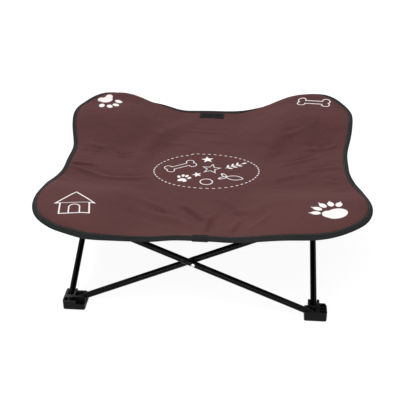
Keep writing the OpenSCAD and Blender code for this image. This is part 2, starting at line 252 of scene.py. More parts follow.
class CotSizes(bpy.types.PropertyGroup):
    """Sizes of the cloth pieces."""

    side_over: length_prop("Side overhang", "Middle of a side past its plane of tubes", 0.067)
    lobe_over: length_prop("Lobe overhang", "End of a lobe past the corner of two planes", 0.081)
    lobe_bulge: length_prop("Lobe bulge", "Swell of the flanks of a lobe", 0.006)
    lobe_flat: length_prop("Lobe flat", "Flattening of the end of a lobe", 0.003)
    middle_drop: length_prop("Middle drop", "Middle of the sling below the blocks", 0.058)
    side_drop: length_prop("Side drop", "Middle of a side below the blocks", 0.040)
    pad_half: length_prop("Pad", "Half the width of the level cloth over a block", 0.048)
    pad_fade: length_prop("Pad fade", "Length over which the cloth falls away", 0.190)
    pad_shift: length_prop("Pad shift", "Middle of the level cloth past the planes", 0.0052)
    cloth: length_prop("Cloth", "Thickness of the sling", 0.002)
    cloth_gap: length_prop("Cloth gap", "Gap between the sling and a block", 0.0004)
    tape_width: length_prop("Tape width", "Width of the folded tape", 0.012)
    tape: length_prop("Tape", "Thickness of the tape", 0.0009)
    layer_gap: length_prop("Layer gap", "Gap between layers of cloth", 0.0003)
    pocket: length_prop("Pocket", "Thickness of a pocket wall", 0.0016)
    pocket_gap: length_prop("Pocket gap", "Gap between a pocket and its block", 0.0003)
    pocket_round: length_prop("Pocket corner", "Radius of the inside of a pocket", 0.0053)
    hem: length_prop("Hem", "Radius of the hem of a pocket", 0.002)
    label: length_prop("Label", "Thickness of the label", 0.001)
    turn: angle_prop("Turn", "Turn of the sling on its frame", 0.031)
    shift_right: length_prop("Shift right", "Shift of the sides of the sling", 0.008)
    shift_front: length_prop("Shift front", "Shift of the sling to the front", 0.004)
    edge_curl: length_prop("Edge curl", "How far the front edge turns down", 0.007)
    crease: length_prop("Creases", "Height of the creases in the sling", 0.0018)
    stitch_pitch: length_prop("Stitch pitch", "From one stitch to the next", 0.0048)
    stitch_length: length_prop("Stitch length", "Length of a stitch", 0.0037)
    stitch_width: length_prop("Stitch width", "Thickness of the thread", 0.0009)
    cells: IntProperty(name="Cells", description="Mesh cells across half of the sling", default=136)
    folded_width: FloatProperty(name="Folded width", description="Share of depth when folded", default=0.07)


class CotColours(bpy.types.PropertyGroup):
    """Colours of the finishes, linear."""

    sling: colour_prop("Sling", "Cloth of the sling", (0.108, 0.0425, 0.0425))
    sling_deep: colour_prop("Sling, deep", "Darker threads of the sling", (0.084, 0.0320, 0.0320))
    ink: colour_prop("Print", "Ink of the print", (0.93, 0.90, 0.89))
    tape: colour_prop("Tape", "Edge tape and pockets", (0.026, 0.028, 0.028))
    thread: colour_prop("Thread", "Sewing thread", (0.085, 0.075, 0.074))
    label: colour_prop("Label", "Woven label", (0.005, 0.005, 0.006))
    tube: colour_prop("Tube", "Powder coat of the tubes", (0.002, 0.002, 0.0022))
    block: colour_prop("Block", "Moulded feet and top blocks", (0.004, 0.004, 0.0045))
    steel: colour_prop("Steel", "Rivets and pins", (0.72, 0.72, 0.73))
    floor: colour_prop("Floor", "Pale studio floor", (0.78, 0.78, 0.78))


class CotStage(bpy.types.PropertyGroup):
    """Camera and light."""

    azimuth: angle_prop("Azimuth", "Camera to the right of the front", math.radians(5.06))
    elevation: angle_prop("Elevation", "Camera above the horizon", math.radians(29.88))
    roll: angle_prop("Roll", "Turn of the camera about its view", math.radians(-0.387))
    distance: length_prop("Distance", "From the camera to the cot", 2.1944)
    aim: FloatVectorProperty(
        name="Aim",
        description="Point in the middle of the picture",
        default=(-0.0110, 0.0094, 0.1379),
        subtype="XYZ",
    )
    lens: FloatProperty(name="Lens", description="Focal length on a 36 mm sensor", default=70.84)
    key: power_prop("Key light", "Power of the light above and behind", 258.0)
    fill: power_prop("Fill light", "Power of the light in front", 10.0)
    strip: power_prop("Strip light", "Power of the narrow light in front", 12.0)
    sky: FloatProperty(name="Sky", description="Strength of the light from all sides", default=0.27)


def sizes():
    """Sizes as the user has set them."""
    return bpy.context.scene.cot_sizes


def colours():
    """Colours as the user has set them."""
    return bpy.context.scene.cot_colours


# Form of the sling


def edge_radius(angle):
    """Drawn distance from the middle of the sling to its edge."""
    s = sizes()
    side = PLANE_REACH + s.side_over
    lobe = math.sqrt(2) * PLANE_REACH + s.lobe_over
    turn = angle - math.pi / 4
    mean = (side + lobe) / 2 - s.lobe_bulge
    swing = (lobe - side) / 2 + s.lobe_flat
    return mean + swing * np.cos(4 * turn) + s.lobe_bulge * np.cos(8 * turn) - s.lobe_flat * np.cos(12 * turn)


def edge_point(angle, inset):
    """Plan point set in from the drawn edge, square to it."""
    step = 1e-4
    here = edge_radius(angle)[:, None] * np.stack([np.cos(angle), np.sin(angle)], 1)
    ahead = edge_radius(angle + step)[:, None] * np.stack([np.cos(angle + step), np.sin(angle + step)], 1)
    along = (ahead - here) / np.linalg.norm(ahead - here, axis=1)[:, None]
    return here + inset * np.stack([-along[:, 1], along[:, 0]], 1)


def smooth(t):
    """0 to 1, level at both ends."""
    t = np.clip(t, 0, 1)
    return t * t * (3 - 2 * t)


def pad_share(x, y):
    """1 over a block, where the cloth lies level, 0 where it hangs."""
    s = sizes()
    middle = PLANE_REACH + s.pad_shift
    off = ((np.abs(x) - middle) ** 4 + (np.abs(y) - middle) ** 4) ** 0.25
    return 1 - smooth((off - s.pad_half) / s.pad_fade)


def crest(phase):
    """Waves with narrow crests and broad hollows, level on average."""
    return np.exp(CREST_SHARP * (np.cos(phase) - 1)) - CREST_MEAN


def near(offset, spread):
    """1 at the middle, 0 well away from it."""
    return np.exp(-((offset / spread) ** 2))


def kept_creases(x, y):
    """Height of the creases that stay in the cloth: a bowed crest with a hollow beside it."""
    height = np.zeros_like(x)
    for x0, y0, x1, y1, half, rise in np.array(CREASE_LINES) / 1000:
        length = math.hypot(x1 - x0, y1 - y0)
        ax, ay = (x1 - x0) / length, (y1 - y0) / length
        along = ((x - x0) * ax + (y - y0) * ay) / length - 0.5
        across = (y - y0) * ax - (x - x0) * ay + CREASE_BOW * length * (along**2 - 0.25)
        run = np.exp(-((along / CREASE_RUN) ** 4))
        hollow = HOLLOW_DEPTH * near(across + HOLLOW_OFF * half, HOLLOW_WIDTH * half)
        height += rise * run * (near(across, half) - hollow)
    return height


def creases(x, y, share):
    """Height of all creases: those kept, fine pulls in from the edge, unevenness all over."""
    s = sizes()
    drift = np.sin(x / 0.047 + 1.3) * np.sin(y / 0.039 + 0.4) + 0.6 * np.sin(x / 0.023 - y / 0.031)
    broad = np.sin(x / 0.083 + 2.0 * np.sin(y / 0.11)) * np.sin(y / 0.074 + 0.6)
    height = BROAD_SHARE * broad + DRIFT_SHARE * drift
    for (middle_x, wide), (middle_y, deep), tall, (per_x, per_y), start, wander in FINE_PULLS:
        place = near(x - middle_x, wide) * near(y - middle_y, deep)
        height += tall * place * crest(per_x * x + per_y * y + start + wander * drift)
    height = s.crease * height + kept_creases(x, y)
    return height * (1 - pad_share(x, y)) * smooth((1.0 - share) / PLAIN_EDGE)


def hung(plan):
    """Points on the middle of the hung cloth over plan points."""
    s = sizes()
    x, y = plan[:, 0], plan[:, 1]
    away, angle = np.hypot(x, y), np.arctan2(y, x)
    share = away / edge_radius(angle)
    reach, rise = np.zeros_like(x), np.zeros_like(x)
    for direction, spread, start, spot_reach, spot_rise in SLACK_SPOTS:
        off = np.degrees(np.angle(np.exp(1j * (angle - math.radians(direction)))))
        spot = np.where(np.abs(off) < spread, np.cos(off / spread * math.pi / 2) ** 2, 0)
        reach += spot_reach * spot * smooth((share - REACH_START) / (1 - REACH_START))
        rise += spot_rise * spot * smooth((share - start) / (1 - start))
    curl = np.clip((share - CURL_START) / (1 - CURL_START), 0, CURL_MOST) ** 2
    rise -= s.edge_curl * curl * smooth(-FRONT_SHARE * np.sin(angle))
    out = 1 + reach / np.maximum(away, 1e-6)
    turn = s.turn * smooth(np.abs(x) / TURN_WIDTH)
    over_x = x * out - turn * y + s.shift_right * np.abs(x) / (PLANE_REACH + s.side_over)
    over_y = y * out + turn * x - s.shift_front
    slack = BLOCK_TOP - s.middle_drop + (s.middle_drop - s.side_drop) * share**2
    upper = slack + (BLOCK_TOP + s.cloth_gap + s.cloth - slack) * pad_share(over_x, over_y)
    return np.stack([over_x, over_y, upper - s.cloth / 2 + rise + creases(x, y, share)], 1)


def cloth_normals(plan):
    """Upward normals of the hung cloth over plan points."""
    step = 5e-4
    east = hung(plan + [step, 0]) - hung(plan - [step, 0])
    north = hung(plan + [0, step]) - hung(plan - [0, step])
    normal = np.cross(east, north)
    return normal / np.linalg.norm(normal, axis=1)[:, None]


def lifted(plan, lift):
    """Points at a height square to the middle of the hung cloth."""
    return hung(plan) + cloth_normals(plan) * lift


# Meshes


def linked(name, data):
    """A new object in the scene."""
    made = bpy.data.objects.new(name, data)
    bpy.context.scene.collection.objects.link(made)
    return made


def new_piece(name, points, faces, uv=None, sharp=40):
    """A mesh object at the origin with smooth faces, sharp edges past an angle and a UV map in metres."""
    mesh = bpy.data.meshes.new(name)
    mesh.from_pydata([tuple(p) for p in points], [], faces)
    if uv is not None:
        layer = mesh.uv_layers.new(name="cloth")
        corners = np.empty(len(mesh.loops), dtype=np.int32)
        mesh.loops.foreach_get("vertex_index", corners)
        layer.data.foreach_set("uv", np.asarray(uv, dtype=np.float32)[corners].ravel())
    mesh.shade_smooth()
    mesh.set_sharp_from_angle(angle=math.radians(sharp))
    mesh.update()
    return linked(name, mesh)


def sheet_piece(name, plan, rows, columns, low, high):
    """A sheet of even thickness over a grid of plan points, closed round its edge."""
    count = rows * columns
    points = np.concatenate([lifted(plan, high), lifted(plan, low)])

    def at(i, j):
        return i * columns + j

    faces = []
    for i in range(rows - 1):
        for j in range(columns - 1):
            quad = (at(i, j), at(i + 1, j), at(i + 1, j + 1), at(i, j + 1))
            faces.append(quad)
            faces.append(tuple(count + k for k in reversed(quad)))
    ring = [at(0, j) for j in range(columns)] + [at(i, columns - 1) for i in range(1, rows)]
    ring += [at(rows - 1, j) for j in range(columns - 2, -1, -1)] + [at(i, 0) for i in range(rows - 2, 0, -1)]
    for a, b in zip(ring, ring[1:] + ring[:1]):
        faces.append((a, b, count + b, count + a))
    return new_piece(name, points, faces, np.concatenate([plan, plan]))


def sweep_piece(name, sections, lengths, sharp=50):
    """A closed section carried along a path, with flat ends; UV runs along the path and round the section."""
    steps, count = sections.shape[:2]
    faces = []
    for i in range(steps - 1):
        for k in range(count):
            a, b = i * count + k, i * count + (k + 1) % count
            faces.append((a, b, b + count, a + count))
    faces.append(tuple(range(count - 1, -1, -1)))
    faces.append(tuple((steps - 1) * count + k for k in range(count)))
    girth = np.linalg.norm(np.roll(sections[0], -1, 0) - sections[0], axis=1)
    round_it = np.concatenate([[0], np.cumsum(girth)[:-1]])
    uv = np.stack([np.repeat(lengths, count), np.tile(round_it, steps)], 1)
    return new_piece(name, sections.reshape(-1, 3), faces, uv, sharp)


def path_lengths(points):
    """Distance along a path of points."""
    return np.concatenate([[0], np.cumsum(np.linalg.norm(np.diff(points, axis=0), axis=1))])


# Stitches


def wire(tree, *links):
    """Links nodes: from a node and its output to a node and its input."""
    for source, output, target, socket in links:
        tree.links.new(source.outputs[output], target.inputs[socket])


def stitch_tree(material):
    """Geometry nodes that lay stitches along the edges of a path, square to its lift attribute."""
    tree = bpy.data.node_groups.new("Stitches", "GeometryNodeTree")
    face = tree.interface
    face.new_socket("Path", in_out="INPUT", socket_type="NodeSocketGeometry")
    inputs = {}
    for name in ("Pitch", "Length", "Width"):
        inputs[name] = face.new_socket(name, in_out="INPUT", socket_type="NodeSocketFloat").identifier
    face.new_socket("Stitches", in_out="OUTPUT", socket_type="NodeSocketGeometry")
    add = tree.nodes.new
    given, result = add("NodeGroupInput"), add("NodeGroupOutput")
    curve, even = add("GeometryNodeMeshToCurve"), add("GeometryNodeResampleCurve")
    even.mode = "LENGTH"
    ball, size = add("GeometryNodeMeshUVSphere"), add("ShaderNodeCombineXYZ")
    shape = add("GeometryNodeTransform")
    for name, value in (("Segments", 8), ("Rings", 5), ("Radius", 0.5)):
        ball.inputs[name].default_value = value
    tangent, lift = add("GeometryNodeInputTangent"), add("GeometryNodeInputNamedAttribute")
    lift.data_type = "FLOAT_VECTOR"
    lift.inputs["Name"].default_value = "lift"
    ahead, upright = add("FunctionNodeAlignRotationToVector"), add("FunctionNodeAlignRotationToVector")
    ahead.axis, upright.axis, upright.pivot_axis = "X", "Z", "X"
    lay, real = add("GeometryNodeInstanceOnPoints"), add("GeometryNodeRealizeInstances")
    dye = add("GeometryNodeSetMaterial")
    dye.inputs["Material"].default_value = material
    wire(
        tree,
        (given, "Path", curve, "Mesh"),
        (curve, "Curve", even, "Curve"),
        (given, "Pitch", even, "Length"),
        (given, "Length", size, "X"),
        (given, "Width", size, "Y"),
        (given, "Width", size, "Z"),
        (ball, "Mesh", shape, "Geometry"),
        (size, "Vector", shape, "Scale"),
        (tangent, "Tangent", ahead, "Vector"),
        (ahead, "Rotation", upright, "Rotation"),
        (lift, "Attribute", upright, "Vector"),
        (even, "Curve", lay, "Points"),
        (shape, "Geometry", lay, "Instance"),
        (upright, "Rotation", lay, "Rotation"),
        (lay, "Instances", real, "Geometry"),
        (real, "Geometry", dye, "Geometry"),
        (dye, "Geometry", result, "Stitches"),
    )
    return tree, inputs


def stitched(name, rows):
    """A piece of stitches along rows of points, each with its lifts."""
    s = sizes()
    points = np.concatenate([row for row, _ in rows])
    lifts = np.concatenate([lift for _, lift in rows])
    edges, start = [], 0
    for row, _ in rows:
        edges += [(start + i, start + i + 1) for i in range(len(row) - 1)]
        start += len(row)
    path = bpy.data.meshes.new(name + "_path")
    path.from_pydata([tuple(p) for p in points], edges, [])
    lift = path.attributes.new("lift", "FLOAT_VECTOR", "POINT")
    lift.data.foreach_set("vector", lifts.astype(np.float32).ravel())
    piece = linked(name, path)
    tree, inputs = stitch_tree(thread_finish())
    modifier = piece.modifiers.new("Stitches", "NODES")
    modifier.node_group = tree
    for label, value in (("Pitch", s.stitch_pitch), ("Length", s.stitch_length), ("Width", s.stitch_width)):
        modifier[inputs[label]] = value
    shown = piece.evaluated_get(bpy.context.evaluated_depsgraph_get())
    mesh = bpy.data.meshes.new_from_object(shown)
    piece.modifiers.remove(modifier)
    piece.data = mesh
    mesh.name = name
    mesh.shade_smooth()
    bpy.data.meshes.remove(path)
    bpy.data.node_groups.remove(tree)
    return piece


# Finishes


def tint(colour, share):
    """A colour made darker or lighter."""
    return tuple(share * v for v in colour)


class Finish:
    """A material with short calls for the nodes that finishes share."""

    def __init__(self, name, **inputs):
        self.material = bpy.data.materials.new(name)
        self.material.use_nodes = True
        self.tree = self.material.node_tree
        self.surface = next(n for n in self.tree.nodes if n.type == "BSDF_PRINCIPLED")
        self.give(**inputs)

    def give(self, **inputs):
        """Sets inputs of the surface, with _ for a space in their names."""
        for key, value in inputs.items():
            self.put(self.surface.inputs[key.replace("_", " ")], value)

    def put(self, socket, value):
        """Links an output to a socket, or sets its value."""
        if isinstance(value, bpy.types.NodeSocket):
            self.tree.links.new(value, socket)
        elif socket.type == "RGBA":
            socket.default_value = (*value, 1.0)
        else:
            socket.default_value = value

    def node(self, kind, inputs=(), **settings):
        made = self.tree.nodes.new(kind)
        for key, value in settings.items():
            setattr(made, key, value)
        for key, value in dict(inputs).items():
            self.put(made.inputs[key], value)
        return made

    def math(self, operation, *values, clamp=False):
        made = self.node("ShaderNodeMath", operation=operation, use_clamp=clamp)
        for socket, value in zip(made.inputs, values):
            self.put(socket, value)
        return made.outputs[0]

    def vector(self, operation, *values):
        made = self.node("ShaderNodeVectorMath", operation=operation)
        for socket, value in zip(made.inputs, values):
            self.put(socket, value)
        return made.outputs["Value" if operation in ("LENGTH", "DISTANCE", "DOT_PRODUCT") else "Vector"]

    def coordinates(self, kind):
        return self.node("ShaderNodeTexCoord").outputs[kind]

    def noise(self, at, scale, detail=3.0):
        inputs = {"Vector": at, "Scale": scale, "Detail": detail}
        return self.node("ShaderNodeTexNoise", inputs).outputs["Fac"]

    def mix(self, share, a, b):
        made = self.node("ShaderNodeMix", data_type="RGBA")
        self.put(made.inputs["Factor"], share)
        self.put(made.inputs[6], a)
        self.put(made.inputs[7], b)
        return made.outputs[2]

    def mottled(self, at, scale, a, b, detail=3.0):
        """Two colours in uneven patches."""
        return self.mix(self.noise(at, scale, detail), a, b)

    def bump(self, height, strength, distance, under=None):
        made = self.node("ShaderNodeBump", {"Height": height, "Strength": strength, "Distance": distance})
        if under is not None:
            self.put(made.inputs["Normal"], under)
        return made.outputs["Normal"]

    def worn_and_highlit_edges(self, at, radius):
        """0 on flat faces, up to 1 along edges, broken up as wear is: a mask for edge wear that also paints a
        highlight along the edges.
        """
        rounded = self.node("ShaderNodeBevel", {"Radius": radius}, samples=6).outputs["Normal"]
        plain = self.node("ShaderNodeNewGeometry").outputs["Normal"]
        bend = self.math("SUBTRACT", 1.0, self.vector("DOT_PRODUCT", rounded, plain))
        edge = self.math("MULTIPLY", bend, 5.0, clamp=True)
        broken = self.math("MULTIPLY_ADD", self.noise(at, 160.0), 1.6, -0.2, clamp=True)
        return self.math("MULTIPLY", edge, broken)

    def bands(self, at, pitch, direction):
        """Ridges a pitch apart along one axis."""
        per_metre = 2 * math.pi / 20
        return self.node(
            "ShaderNodeTexWave",
            {"Vector": at, "Scale": per_metre / pitch},
            wave_type="BANDS",
            bands_direction=direction,
            wave_profile="SIN",
        ).outputs["Fac"]


class Print(Finish):
    """Flat shapes of the print as distances to their outlines, in metres, on the cloth's own map."""

    def placed(self, at, place, turn=0, scale=(1, 1)):
        """The map moved, turned and scaled to a figure's own."""
        inputs = {"Vector": at, "Location": (*place, 0), "Scale": (*scale, 1)}
        inputs["Rotation"] = (0, 0, math.radians(turn))
        return self.node("ShaderNodeMapping", inputs, vector_type="TEXTURE").outputs["Vector"]

    def disc(self, at, place, radius):
        return self.math("SUBTRACT", self.vector("DISTANCE", at, (*place, 0)), radius)

    def oval(self, at, place, half, turn=0):
        away = self.vector("LENGTH", self.placed(at, place, turn, half))
        return self.math("MULTIPLY_ADD", away, min(half), -min(half))

    def bar(self, at, half):
        off = self.vector("SUBTRACT", self.vector("ABSOLUTE", at), (*half, 1))
        parts = self.node("ShaderNodeSeparateXYZ", {"Vector": off})
        return self.math("MAXIMUM", parts.outputs["X"], parts.outputs["Y"])

    def star(self, at, points, outer, inner):
        """Distance to the straight edge from an outer to an inner point, folded round the middle."""
        parts = self.node("ShaderNodeSeparateXYZ", {"Vector": at})
        turn = self.math("ARCTAN2", parts.outputs["X"], parts.outputs["Y"])
        sector = 2 * math.pi / points
        fold = self.math("ABSOLUTE", self.math("WRAP", turn, sector / 2, -sector / 2))
        away = self.vector("LENGTH", at)
        tip = Vector((0, outer))
        notch = Vector((inner * math.sin(sector / 2), inner * math.cos(sector / 2)))
        side = (notch - tip).normalized()
        normal = Vector((-side.y, side.x))
        across = self.math("MULTIPLY", away, self.math("SINE", fold))
        up = self.math("MULTIPLY", away, self.math("COSINE", fold))
        across = self.math("MULTIPLY", across, normal.x)
        return self.math("ADD", self.math("MULTIPLY_ADD", up, normal.y, -normal.dot(tip)), across)

    def joined(self, *shapes):
        whole = shapes[0]
        for shape in shapes[1:]:
            whole = self.math("MINIMUM", whole, shape)
        return whole

    def common(self, a, b):
        return self.math("MAXIMUM", a, b)

    def line(self, shape, half):
        return self.math("SUBTRACT", self.math("ABSOLUTE", shape), half)

    def paw(self, at, size):
        """Four toes over a pad with three lobes."""
        toes = [((-0.36, 0.20), 28), ((-0.13, 0.42), 9), ((0.13, 0.42), -9), ((0.36, 0.20), -28)]
        toe = (0.105 * size, 0.16 * size)
        shapes = [self.oval(at, (size * x, size * y), toe, turn) for (x, y), turn in toes]
        shapes.append(self.oval(at, (0, -0.14 * size), (0.24 * size, 0.19 * size)))
        shapes += [self.disc(at, (side * 0.17 * size, -0.26 * size), 0.14 * size) for side in (-1, 1)]
        return self.joined(*shapes)

    def bear_paw(self, at, size):
        """Five pointed toes in an arc over a broad pad."""
        shapes = [self.oval(at, (0.04 * size, -0.18 * size), (0.33 * size, 0.24 * size), 4)]
        shapes.append(self.disc(at, (-0.16 * size, -0.10 * size), 0.18 * size))
        for turn in (58, 30, 3, -24, -50):
            lean = math.radians(turn)
            toe = (-0.50 * size * math.sin(lean), -0.14 * size + 0.50 * size * math.cos(lean))
            claw = (-0.62 * size * math.sin(lean), -0.14 * size + 0.62 * size * math.cos(lean))
            shapes.append(self.oval(at, toe, (0.090 * size, 0.130 * size), turn))
            shapes.append(self.oval(at, claw, (0.022 * size, 0.075 * size), turn))
        return self.joined(*shapes)

    def bone(self, at, length):
        """A bar with two knobs at each end."""
        ends = [(sx * 0.40 * length, sy * 0.10 * length) for sx in (-1, 1) for sy in (-1, 1)]
        knobs = [self.disc(at, end, 0.125 * length) for end in ends]
        return self.joined(self.bar(at, (0.40 * length, 0.085 * length)), *knobs)

    def fish(self, at, length):
        """A pointed body with a forked tail."""
        flanks, fins = [], []
        fin = (0.15 * length, 0.065 * length)
        for side in (-1, 1):
            flanks.append(self.disc(at, (0.08 * length, side * 0.26 * length), 0.42 * length))
            fins.append(self.oval(at, (-0.36 * length, side * 0.10 * length), fin, -side * 42))
        return self.joined(self.common(*flanks), *fins)

    def house(self, at, width):
        """A gabled hut with an arched door."""
        parts = self.node("ShaderNodeSeparateXYZ", {"Vector": at}).outputs
        steep_x, steep_y = 0.748, 0.664
        lean = self.math("MULTIPLY", self.math("ABSOLUTE", parts["X"]), steep_x)
        slope = self.math("MULTIPLY_ADD", parts["Y"], steep_y, lean)
        roof = self.common(self.math("SUBTRACT", slope, 0.41 * width), self.math("SUBTRACT", 0.0, parts["Y"]))
        walls = self.bar(self.placed(at, (0, -0.28 * width)), (0.41 * width, 0.30 * width))
        door = self.joined(
            self.disc(at, (0, -0.24 * width), 0.15 * width),
            self.bar(self.placed(at, (0, -0.41 * width)), (0.15 * width, 0.17 * width)),
        )
        return self.joined(self.line(self.joined(roof, walls), HOUSE_LINE), self.line(door, DOOR_LINE))

    def dashed_ring(self, at, half, dashes):
        """An oval outline of short dashes."""
        ring = self.line(self.oval(at, (0, 0), half), DASH_LINE)
        parts = self.node("ShaderNodeSeparateXYZ", {"Vector": self.vector("DIVIDE", at, (*half, 1))})
        turn = self.math("ARCTAN2", parts.outputs["Y"], parts.outputs["X"])
        beat = self.math("SINE", self.math("MULTIPLY", turn, float(dashes)))
        return self.common(ring, self.math("MULTIPLY", beat, DASH_SOFT))

    def sprig(self, at, length):
        """A stem with paired leaves."""
        shapes = [self.bar(at, (0.5 * length, 0.012 * length))]
        leaf = (0.13 * length, 0.05 * length)
        for x in (-0.30, -0.05, 0.20):
            for side in (-1, 1):
                shapes.append(self.oval(at, (x * length, side * 0.11 * length), leaf, side * 48))
        shapes.append(self.oval(at, (0.52 * length, 0), (0.12 * length, 0.05 * length)))
        return self.joined(*shapes)


FINISHES = {}
MATT = {"Roughness": 0.85, "Specular_IOR_Level": 0.06}


def finish(name, kind, look_class=Finish, **inputs):
    """Keeps one material for each finish, on a piece's UV map or on Object coordinates."""

    def keep(make):
        def once():
            if name not in FINISHES:
                look = look_class(name, **inputs)
                make(look, look.coordinates(kind))
                FINISHES[name] = look.material
            return FINISHES[name]

        return once

    return keep


def weave(look, at, pitch, strength):
    """Bump of a plain weave over slight unevenness."""
    threads = look.math("MULTIPLY", look.bands(at, pitch, "X"), look.bands(at, pitch, "Y"))
    uneven = look.bump(look.noise(at, 26.0, 4.0), 0.80, 0.005)
    return look.bump(threads, strength, 0.0003, uneven)


@finish("printed_sling", "UV", Print, **MATT, Sheen_Weight=0.01, Sheen_Roughness=0.5)
def sling_finish(look, at):
    c = colours()
    figures = []
    for kind, place, turn, figure_sizes, half in PRINT_FIGURES:
        figure = getattr(look, kind)(look.placed(at, place, turn), *figure_sizes)
        figures.append(look.line(figure, half) if half else figure)
    limits = {"From Min": -INK_EDGE, "From Max": INK_EDGE, "To Min": 1.0, "To Max": 0.0}
    shown = look.node("ShaderNodeMapRange", {"Value": look.joined(*figures), **limits}).outputs["Result"]
    worn = look.math("MULTIPLY_ADD", look.noise(at, 900.0, 2.0), 0.12, 0.90, clamp=True)
    ground = look.mottled(at, 9.0, c.sling_deep, c.sling, 5.0)
    look.give(
        Base_Color=look.mix(look.math("MULTIPLY", shown, worn), ground, c.ink),
        Normal=weave(look, at, 0.0009, 0.25),
    )


def ribbed(look, at, colour):
    """Tape with ribs across its length."""
    ribs = look.bands(at, 0.0011, "X")
    tone = look.math("MULTIPLY", look.noise(at, 40.0), ribs)
    look.give(
        Base_Color=look.mix(tone, tint(colour, 0.72), tint(colour, 1.15)),
        Normal=look.bump(ribs, 0.35, 0.0003),
    )


@finish("edge_tape", "UV", **MATT)
def tape_finish(look, at):
    ribbed(look, at, colours().tape)


@finish("tape_wrap", "UV", **MATT)
def wrap_finish(look, at):
    ribbed(look, at, tint(colours().tape, 0.8))


@finish("pocket_cloth", "UV", Roughness=0.85, Specular_IOR_Level=0.28, Sheen_Weight=0.12)
def pocket_finish(look, at):
    colour = colours().tape
    look.give(
        Base_Color=look.mottled(at, 60.0, tint(colour, 0.7), colour),
        Normal=weave(look, at, 0.0012, 0.3),
    )


@finish("woven_label", "UV", **MATT)
def label_finish(look, at):
    colour = colours().label
    look.give(
        Base_Color=look.mottled(at, 300.0, colour, tint(colour, 1.6)),
        Normal=look.bump(look.bands(at, 0.0005, "Y"), 0.2, 0.0002),
    )


@finish("sewing_thread", "Object", Roughness=0.7, Specular_IOR_Level=0.35)
def thread_finish(look, at):
    colour = colours().thread
    look.give(Base_Color=look.mottled(at, 260.0, tint(colour, 0.75), colour))


@finish("powder_coat", "Object", Specular_IOR_Level=0.07)
def tube_finish(look, at):
    colour = colours().tube
    look.give(
        Base_Color=look.mottled(at, 14.0, colour, tint(colour, 1.5)),
        Roughness=look.math("MULTIPLY_ADD", look.noise(at, 120.0), 0.06, 0.11),
        Normal=look.bump(look.noise(at, 900.0, 2.0), 0.05, 0.0003),
    )


@finish("moulded_nylon", "Object", Specular_IOR_Level=0.11)
def block_finish(look, at):
    colour = colours().block
    ground = look.mottled(at, 35.0, colour, tint(colour, 1.4))
    # Edges lighter partly from wear and partly as a painted highlight along them.
    look.give(
        Base_Color=look.mix(look.worn_and_highlit_edges(at, 0.0012), ground, tint(colour, 8)),
        Roughness=look.math("MULTIPLY_ADD", look.noise(at, 90.0), 0.2, 0.4),
        Normal=look.bump(look.noise(at, 1500.0, 2.0), 0.18, 0.0004),
    )


def scratched_steel(look, at, colour, roughness):
    """Bare steel with fine scratches."""
    scratched = look.noise(at, 700.0, 6.0)
    look.give(
        Base_Color=look.mottled(at, 90.0, tint(colour, 0.85), colour),
        Roughness=look.math("MULTIPLY_ADD", scratched, 0.25, roughness),
        Normal=look.bump(scratched, 0.08, 0.0002),
    )


@finish("bright_rivet", "Object", Metallic=1.0)
def rivet_finish(look, at):
    scratched_steel(look, at, colours().steel, 0.16)


@finish("drawn_pin", "Object", Metallic=1.0)
def pin_finish(look, at):
    scratched_steel(look, at, tint(colours().steel, 0.7), 0.28)


@finish("nylon_washer", "Object", Roughness=0.55)
def washer_finish(look, at):
    colour = colours().block
    look.give(Base_Color=look.mottled(at, 150.0, colour, tint(colour, 1.6)))


# Operators


def dressed(piece, material, slot, *nodes):
    """Gives a piece its finish and hides the drawn nodes that it stands for. The slot in the record is not
    used.
    """
    if not piece.data.materials:
        piece.data.materials.append(material)
    if nodes:
        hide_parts(*nodes)
    return piece


def half_angles(half, steps):
    """Directions round the edge of one half of the sling, anticlockwise."""
    start = math.pi / 2 if half == "left" else -math.pi / 2
    return np.linspace(start, start + math.pi, steps)


class COT_OT_sling(bpy.types.Operator):
    """Hang both halves of the printed sling"""

    bl_idname = "cot.sling"
    bl_label = "Sling"

    def execute(self, context):
        s = sizes()
        along = np.linspace(-1, 1, 2 * s.cells + 1)
        for half in HALVES:
            across = np.linspace(-1, 0, s.cells + 1) if half == "left" else np.linspace(0, 1, s.cells + 1)
            u, v = (axis.ravel() for axis in np.meshgrid(across, along, indexing="ij"))
            angle = np.arctan2(v, u)
            inner = edge_point(angle, s.tape + s.layer_gap)
            plan = np.maximum(np.abs(u), np.abs(v))[:, None] * inner
            grid = (len(across), len(along))
            piece = sheet_piece(f"sling_cloth_{half}", plan, *grid, -s.cloth / 2, s.cloth / 2)
            dressed(piece, sling_finish(), "sling_cloth", f"sling_{half}")
        return {"FINISHED"}


def folded_strip(name, angles, out, thickness, gap, width):
    """A strip folded over the edge of the sling, with a round fold."""
    s = sizes()
    outer, inner = s.cloth / 2 + gap + thickness, s.cloth / 2 + gap
    bend = np.linspace(math.pi / 2, -math.pi / 2, FOLD_STEPS)
    fold = [(out + outer * (1 - math.cos(t)), outer * math.sin(t)) for t in bend]
    back = [(out + outer - inner * math.cos(t), inner * math.sin(t)) for t in bend[::-1]]
    lip = STRIP_LIP * thickness
    section = [(width, outer - lip), (width - lip, outer)] + fold
    section += [(width - lip, -outer), (width, -outer + lip), (width, -inner)] + back + [(width, inner)]
    rings = [lifted(edge_point(angles, inset), lift) for inset, lift in section]
    return sweep_piece(name, np.stack(rings, 1), path_lengths(hung(edge_point(angles, out))))


